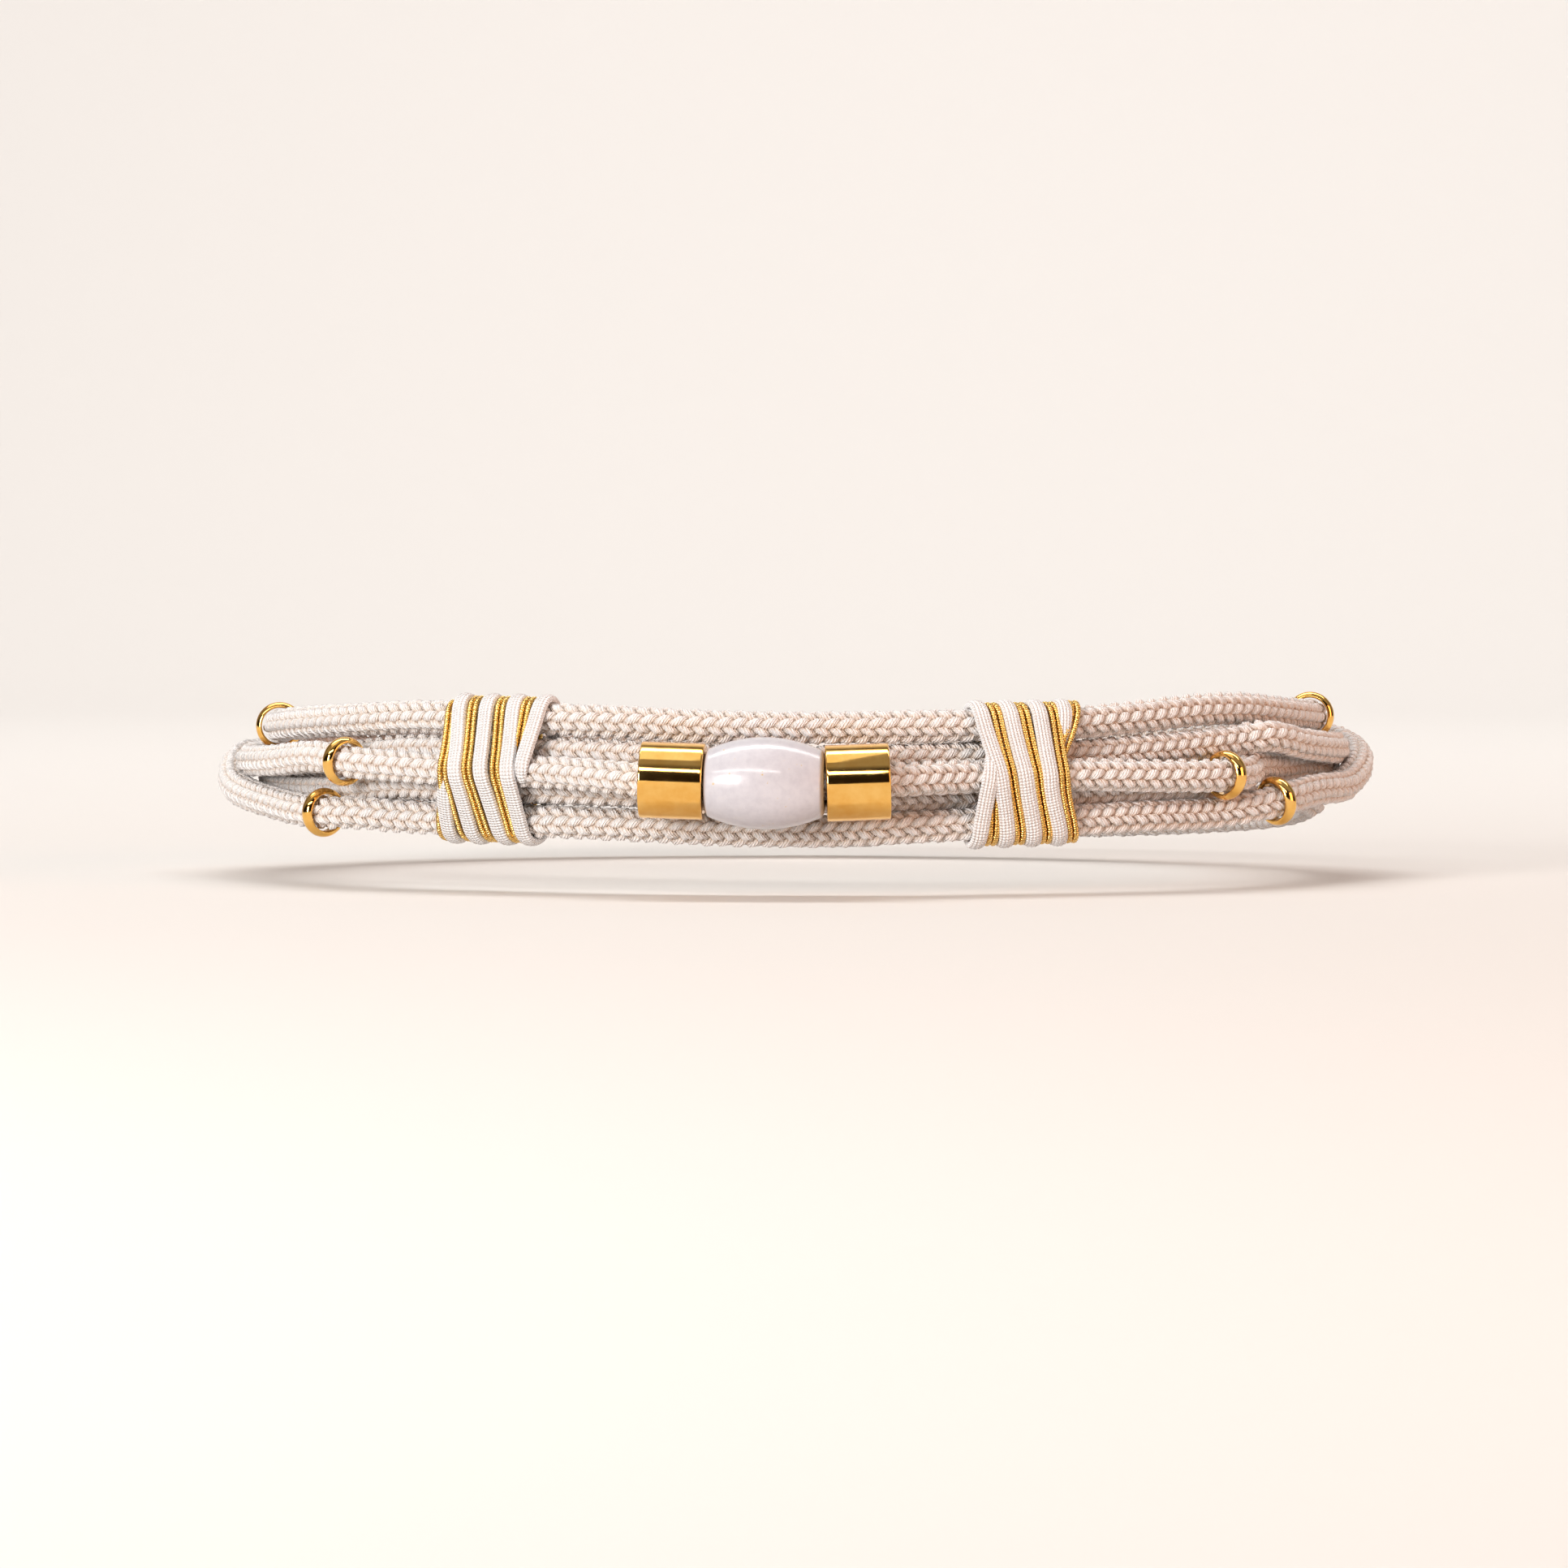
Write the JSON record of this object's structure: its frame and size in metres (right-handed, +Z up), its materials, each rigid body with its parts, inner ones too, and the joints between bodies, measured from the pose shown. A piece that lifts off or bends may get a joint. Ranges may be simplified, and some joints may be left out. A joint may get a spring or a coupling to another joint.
{
  "type": "rope belt",
  "caption": "Worn belt of braided white ropes held side by side by cord wraps, with a barrel bead between gold tubes, loose gold rings and a plain clasp behind.",
  "frame": {"origin": "centre of the waist opening, at the middle of the belt's height at its sides", "axes": "+Z up, -Y towards the front of the belt, +X to the right as seen from the front"},
  "size_m": [0.2614, 0.2139, 0.0418],
  "materials": {
    "rope": "off-white braided cord, matt with a slight sheen",
    "wrap_cord": "white fine flat braid, slight sheen",
    "gold_thread": "metallic gold cord with fine spiral ribs",
    "bead_paint": "white semi-gloss paint on wood, lightly worn",
    "clasp_paint": "off-white satin paint on metal",
    "polished_gold": "polished bright gold"
  },
  "bodies": {
    "root": {"rope_1": "rope", "rope_2": "rope", "rope_3": "rope", "rope_4": "rope", "rope_5": "rope", "wrap_left_cord": "wrap_cord", "wrap_right_cord": "wrap_cord", "wrap_left_gold": "gold_thread", "wrap_right_gold": "gold_thread", "bead": "bead_paint", "tube_left": "polished_gold", "tube_right": "polished_gold", "ring_left_1": "polished_gold", "ring_left_3": "polished_gold", "ring_left_5": "polished_gold", "ring_right_1": "polished_gold", "ring_right_3": "polished_gold", "ring_right_5": "polished_gold", "clasp": "clasp_paint"}
  },
  "joints": []
}
